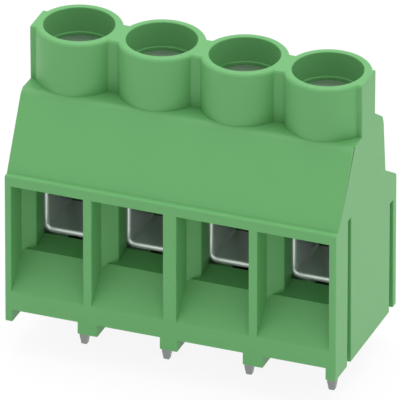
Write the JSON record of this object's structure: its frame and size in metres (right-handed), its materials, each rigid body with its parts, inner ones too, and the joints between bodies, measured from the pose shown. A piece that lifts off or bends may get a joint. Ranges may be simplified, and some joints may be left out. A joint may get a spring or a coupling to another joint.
{
  "type": "pcb screw terminal",
  "caption": "Screw terminal block for printed circuit boards, with funnel-shaped wire entries, screw chimneys, rising tension sleeves and solder pins.",
  "frame": {"origin": "on the board face, at the joint between the two modules, in line with the screw axes", "axes": "+Z away from the board along the screw axes, +X along the row of poles, -Y towards the wire entries"},
  "size_m": [0.0413, 0.0199, 0.0383],
  "materials": {
    "housing": "green polyamide, fine satin moulded surface",
    "screw": "zinc-plated steel, turned",
    "sleeve": "nickel-plated folded sheet",
    "contact": "tin-plated copper sheet"
  },
  "bodies": {
    "block": {"housing_left": "housing", "housing_right": "housing", "contact_1": "contact", "contact_2": "contact", "contact_3": "contact", "contact_4": "contact"},
    "screw_1": {"clamp_screw_1": "screw"},
    "sleeve_1": {"tension_sleeve_1": "sleeve"},
    "screw_2": {"clamp_screw_2": "screw"},
    "sleeve_2": {"tension_sleeve_2": "sleeve"},
    "screw_3": {"clamp_screw_3": "screw"},
    "sleeve_3": {"tension_sleeve_3": "sleeve"},
    "screw_4": {"clamp_screw_4": "screw"},
    "sleeve_4": {"tension_sleeve_4": "sleeve"}
  },
  "joints": [
    {"name": "screw_1_turn", "type": "hinge", "parent": "block", "child": "screw_1", "pos_m": [-0.01524, 0, 0.0309], "axis": [0, 0, -1], "range_deg": [0, 3061]},
    {"name": "screw_2_turn", "type": "hinge", "parent": "block", "child": "screw_2", "pos_m": [-0.00508, 0, 0.0309], "axis": [0, 0, -1], "range_deg": [0, 3061]},
    {"name": "screw_3_turn", "type": "hinge", "parent": "block", "child": "screw_3", "pos_m": [0.00508, 0, 0.0309], "axis": [0, 0, -1], "range_deg": [0, 3061]},
    {"name": "screw_4_turn", "type": "hinge", "parent": "block", "child": "screw_4", "pos_m": [0.01524, 0, 0.0309], "axis": [0, 0, -1], "range_deg": [0, 3061]},
    {"name": "sleeve_1_rise", "type": "slide", "parent": "block", "child": "sleeve_1", "axis": [0, 0, 1], "range_m": [0, 0.00595]},
    {"name": "sleeve_2_rise", "type": "slide", "parent": "block", "child": "sleeve_2", "axis": [0, 0, 1], "range_m": [0, 0.00595]},
    {"name": "sleeve_3_rise", "type": "slide", "parent": "block", "child": "sleeve_3", "axis": [0, 0, 1], "range_m": [0, 0.00595]},
    {"name": "sleeve_4_rise", "type": "slide", "parent": "block", "child": "sleeve_4", "axis": [0, 0, 1], "range_m": [0, 0.00595]}
  ],
  "couplings": [
    {"joint": "screw_1_turn", "follows": "sleeve_1_rise", "rad_per_m": 8976},
    {"joint": "screw_2_turn", "follows": "sleeve_2_rise", "rad_per_m": 8976},
    {"joint": "screw_3_turn", "follows": "sleeve_3_rise", "rad_per_m": 8976},
    {"joint": "screw_4_turn", "follows": "sleeve_4_rise", "rad_per_m": 8976}
  ]
}
